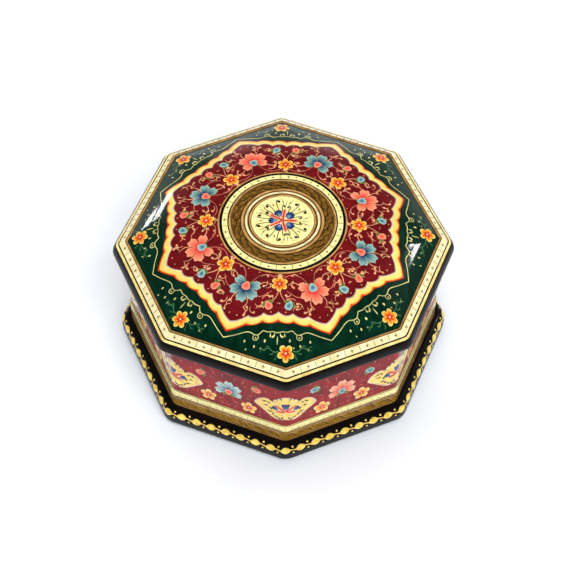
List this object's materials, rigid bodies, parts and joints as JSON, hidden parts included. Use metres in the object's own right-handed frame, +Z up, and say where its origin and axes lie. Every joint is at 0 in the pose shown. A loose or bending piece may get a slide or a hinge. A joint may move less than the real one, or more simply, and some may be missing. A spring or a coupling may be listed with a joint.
{
  "type": "inlaid wooden box",
  "caption": "Eight-sided lacquered and inlaid wooden trinket box with an overhanging domed lid that lifts off, painted walls, an inlaid foot band and a rounded plinth.",
  "frame": {"origin": "centre of the underside of the base felt, on the surface the box stands on", "axes": "+Z up through the middle of the lid; the corners of the eight-sided plan lie on +X, -X, +Y and -Y and half way between them, and -Y is the corner that faces the viewer"},
  "size_m": [0.1462, 0.1462, 0.0748],
  "materials": {
    "felt": "matte felt",
    "black_lacquer": "gloss black lacquer on wood",
    "red_lacquer": "painted and gloss lacquered wood",
    "khatam_brown": "lacquered brown inlay",
    "cream_inlay": "lacquered pale inlay strip",
    "gold_string": "satin gold line",
    "green_lacquer": "painted and gloss lacquered wood",
    "velvet": "short-pile velvet"
  },
  "bodies": {
    "box": {"base_felt": "felt", "plinth_board": "black_lacquer", "floor_lining": "velvet", "wall_panel_1": "red_lacquer", "wall_panel_2": "red_lacquer", "wall_panel_3": "red_lacquer", "wall_panel_4": "red_lacquer", "wall_panel_5": "red_lacquer", "wall_panel_6": "red_lacquer", "wall_panel_7": "red_lacquer", "wall_panel_8": "red_lacquer", "khatam_band_1": "khatam_brown", "khatam_band_2": "khatam_brown", "khatam_band_3": "khatam_brown", "khatam_band_4": "khatam_brown", "khatam_band_5": "khatam_brown", "khatam_band_6": "khatam_brown", "khatam_band_7": "khatam_brown", "khatam_band_8": "khatam_brown", "foot_strip_1": "cream_inlay", "foot_strip_2": "cream_inlay", "foot_strip_3": "cream_inlay", "foot_strip_4": "cream_inlay", "foot_strip_5": "cream_inlay", "foot_strip_6": "cream_inlay", "foot_strip_7": "cream_inlay", "foot_strip_8": "cream_inlay", "wall_lining_1": "velvet", "wall_lining_2": "velvet", "wall_lining_3": "velvet", "wall_lining_4": "velvet", "wall_lining_5": "velvet", "wall_lining_6": "velvet", "wall_lining_7": "velvet", "wall_lining_8": "velvet"},
    "lid": {"lid_rail_1": "black_lacquer", "lid_rail_2": "black_lacquer", "lid_rail_3": "black_lacquer", "lid_rail_4": "black_lacquer", "lid_rail_5": "black_lacquer", "lid_rail_6": "black_lacquer", "lid_rail_7": "black_lacquer", "lid_rail_8": "black_lacquer", "lid_border_strip_1": "cream_inlay", "lid_border_strip_2": "cream_inlay", "lid_border_strip_3": "cream_inlay", "lid_border_strip_4": "cream_inlay", "lid_border_strip_5": "cream_inlay", "lid_border_strip_6": "cream_inlay", "lid_border_strip_7": "cream_inlay", "lid_border_strip_8": "cream_inlay", "lid_outer_string": "gold_string", "lid_inner_string": "gold_string", "lid_dome": "green_lacquer", "lid_locating_rim": "black_lacquer", "lid_lining": "velvet"}
  },
  "joints": [
    {"name": "lid_lift", "type": "slide", "parent": "box", "child": "lid", "axis": [0, 0, 1], "range_m": [0, 0.09]}
  ]
}
